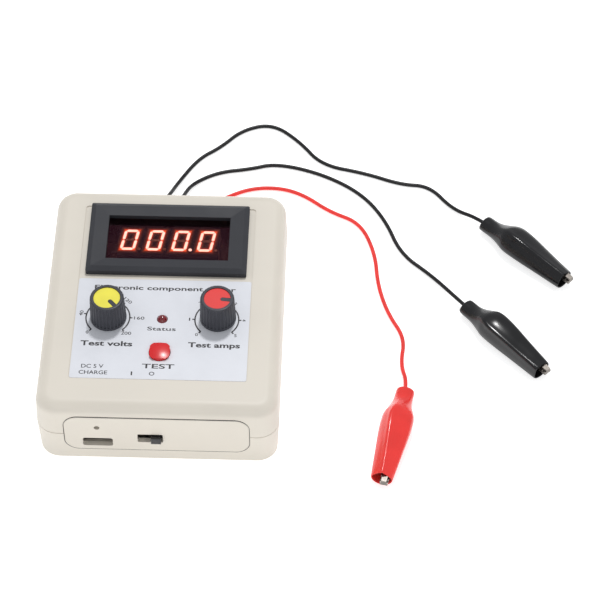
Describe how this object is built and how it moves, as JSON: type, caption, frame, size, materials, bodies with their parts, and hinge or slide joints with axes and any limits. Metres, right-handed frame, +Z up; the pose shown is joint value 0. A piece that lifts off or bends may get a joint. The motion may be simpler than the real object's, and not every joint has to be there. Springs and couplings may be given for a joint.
{
  "type": "component tester",
  "caption": "Hand-held bench tester with a four-digit display, two ribbed knobs, a push button, a slide switch and clip leads in a two-shell plastic case.",
  "frame": {"origin": "middle of the case's footprint, on the surface it stands on", "axes": "+X to the user's right, +Y from the power-switch end to the lead end, +Z up from the table"},
  "size_m": [0.2617, 0.2358, 0.0551],
  "materials": {
    "case_plastic": "satin",
    "label_film": "satin",
    "screw_steel": "satin",
    "bezel_plastic": "satin",
    "filter_acrylic": "polished",
    "module_epoxy": "satin",
    "segment_light": "glossy",
    "segment_dim": "satin",
    "circuit_board": "satin",
    "knob_plastic": "satin",
    "yellow_plastic": "satin",
    "red_plastic": "satin",
    "button_plastic": "glossy",
    "shaft_metal": "satin",
    "pot_metal": "satin",
    "black_plastic": "satin",
    "led_epoxy": "glossy",
    "charge_led_epoxy": "glossy",
    "cell_wrap": "satin",
    "terminal_plastic": "satin",
    "ferrite": "matte",
    "capacitor_sleeve": "satin",
    "black_rubber": "matte",
    "black_wire": "satin",
    "red_wire": "satin",
    "black_boot": "glossy",
    "red_boot": "glossy",
    "nickel": "polished"
  },
  "bodies": {
    "case": {"lower_shell": "case_plastic", "upper_shell": "case_plastic", "front_panel": "case_plastic", "rear_panel": "case_plastic", "face_label": "label_film", "case_screws": "screw_steel", "board_screws": "screw_steel", "meter_bezel": "bezel_plastic", "display_filter": "filter_acrylic", "display_block": "module_epoxy", "segments_lit": "segment_light", "segments_dark": "segment_dim", "meter_board": "circuit_board", "control_board": "circuit_board", "charge_board": "circuit_board", "main_board": "circuit_board", "voltage_pot": "pot_metal", "current_pot": "pot_metal", "voltage_pot_nut": "pot_metal", "current_pot_nut": "pot_metal", "power_switch": "pot_metal", "usb_socket": "pot_metal", "start_switch": "black_plastic", "battery_holder": "black_plastic", "indicator_led": "led_epoxy", "charge_led": "charge_led_epoxy", "battery_cell": "cell_wrap", "lead_terminal": "terminal_plastic", "boost_transformer": "ferrite", "hv_capacitors": "capacitor_sleeve", "lead_grommets": "black_rubber", "lead_black_a": "black_wire", "lead_black_b": "black_wire", "lead_red": "red_wire", "clip_black_a_boot": "black_boot", "clip_black_a_lower_jaw": "nickel", "clip_black_a_pin": "nickel", "clip_black_a_spring": "nickel", "clip_black_b_boot": "black_boot", "clip_black_b_lower_jaw": "nickel", "clip_black_b_pin": "nickel", "clip_black_b_spring": "nickel", "clip_red_boot": "red_boot", "clip_red_lower_jaw": "nickel", "clip_red_pin": "nickel", "clip_red_spring": "nickel"},
    "voltage_knob": {"voltage_knob": "knob_plastic", "voltage_knob_cap": "yellow_plastic", "voltage_pot_shaft": "shaft_metal"},
    "current_knob": {"current_knob": "knob_plastic", "current_knob_cap": "red_plastic", "current_pot_shaft": "shaft_metal"},
    "start_button": {"start_button": "button_plastic"},
    "power_switch_lever": {"power_switch_lever": "black_plastic"},
    "clip_black_a_upper_jaw": {"clip_black_a_upper_jaw": "nickel"},
    "clip_black_b_upper_jaw": {"clip_black_b_upper_jaw": "nickel"},
    "clip_red_upper_jaw": {"clip_red_upper_jaw": "nickel"}
  },
  "joints": [
    {"name": "voltage_knob_turn", "type": "hinge", "parent": "case", "child": "voltage_knob", "pos_m": [-0.0261, -0.0137, 0.045], "axis": [0, 0, 1], "range_deg": [-12, 288]},
    {"name": "current_knob_turn", "type": "hinge", "parent": "case", "child": "current_knob", "pos_m": [0.0269, -0.0126, 0.045], "axis": [0, 0, 1], "range_deg": [-55, 245]},
    {"name": "start_button_press", "type": "slide", "parent": "case", "child": "start_button", "axis": [0, 0, -1], "range_m": [0, 0.001], "stiffness_N_per_m": 500, "springref_m": -0.001},
    {"name": "power_switch_slide", "type": "slide", "parent": "case", "child": "power_switch_lever", "axis": [1, 0, 0], "range_m": [-0.0056, 0]},
    {"name": "clip_black_a_open", "type": "hinge", "parent": "case", "child": "clip_black_a_upper_jaw", "pos_m": [0.1812, 0.06403, 0.0064], "axis": [-0.6858, -0.7278, 0], "range_deg": [0, 26], "stiffness_Nm_per_rad": 0.03, "springref_deg": -34.38, "deforming": ["clip_black_a_boot", "clip_black_a_spring"]},
    {"name": "clip_black_b_open", "type": "hinge", "parent": "case", "child": "clip_black_b_upper_jaw", "pos_m": [0.16927, 0.0069, 0.0064], "axis": [-0.7373, -0.6756, 0], "range_deg": [0, 26], "stiffness_Nm_per_rad": 0.03, "springref_deg": -34.38, "deforming": ["clip_black_b_boot", "clip_black_b_spring"]},
    {"name": "clip_red_open", "type": "hinge", "parent": "case", "child": "clip_red_upper_jaw", "pos_m": [0.11454, -0.0556, 0.0064], "axis": [-0.9781, 0.2079, 0], "range_deg": [0, 26], "stiffness_Nm_per_rad": 0.03, "springref_deg": -34.38, "deforming": ["clip_red_boot", "clip_red_spring"]}
  ]
}
